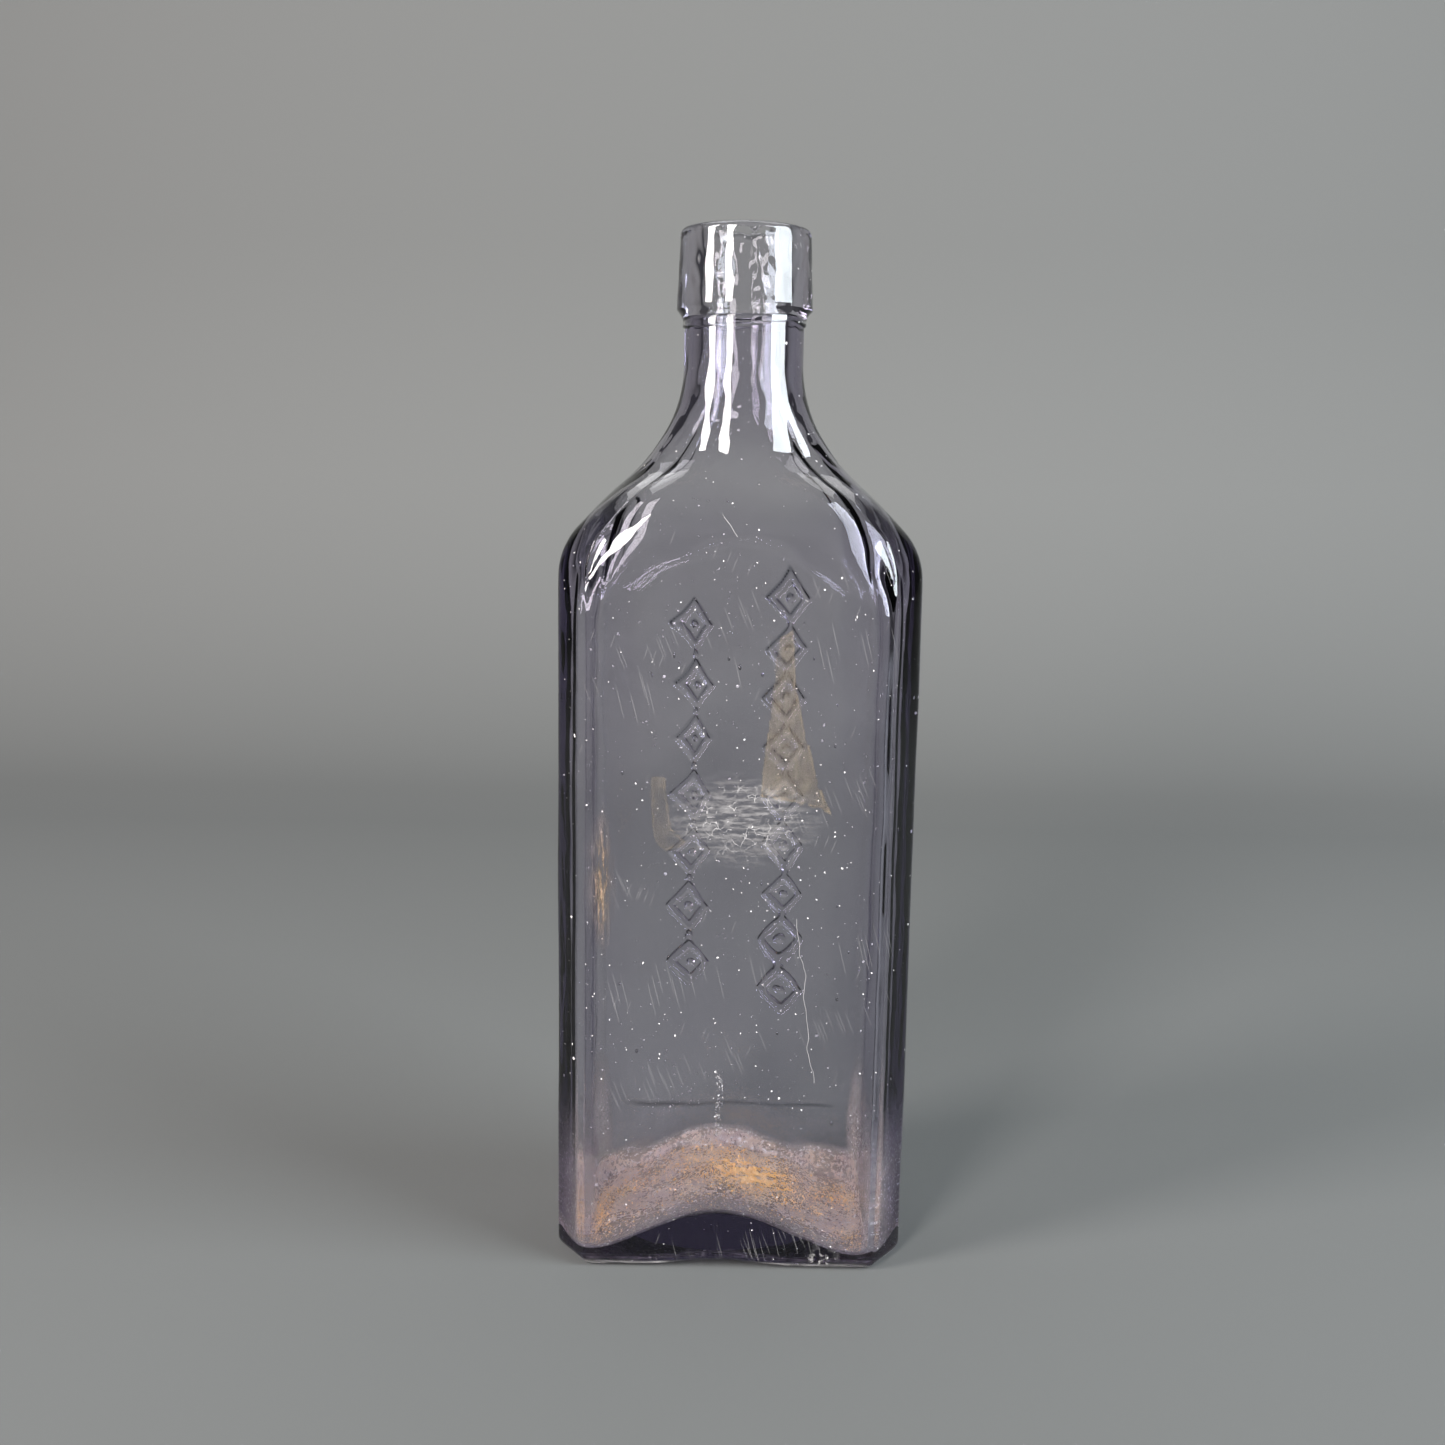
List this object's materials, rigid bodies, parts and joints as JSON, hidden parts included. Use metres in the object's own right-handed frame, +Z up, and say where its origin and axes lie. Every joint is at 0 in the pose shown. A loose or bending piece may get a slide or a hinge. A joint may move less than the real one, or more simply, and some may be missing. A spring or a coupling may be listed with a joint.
{
  "type": "antique glass medicine bottle",
  "caption": "Rectangular clear violet-tinted glass bottle with bevelled corners, sloping shoulders, round neck and a tall applied lip; open mouth with cork bore.",
  "frame": {"origin": "on the standing surface under the middle of the body", "axes": "+Z up through the mouth; +X across the wide faces; the plain wide face looks towards -Y and the panelled one towards +Y"},
  "size_m": [0.08, 0.046, 0.232],
  "materials": {
    "violet_glass": "fire-polished clear glass with a faint violet tint, scuffs and dust",
    "lip_glass": "tooled clear glass with vertical drag marks",
    "dried_residue": "dull gritty tan crust",
    "stain_film": "thin dull tan film"
  },
  "bodies": {
    "root": {"glass_body": "violet_glass", "applied_lip": "lip_glass", "floor_residue": "dried_residue", "wall_residue": "stain_film"}
  },
  "joints": []
}
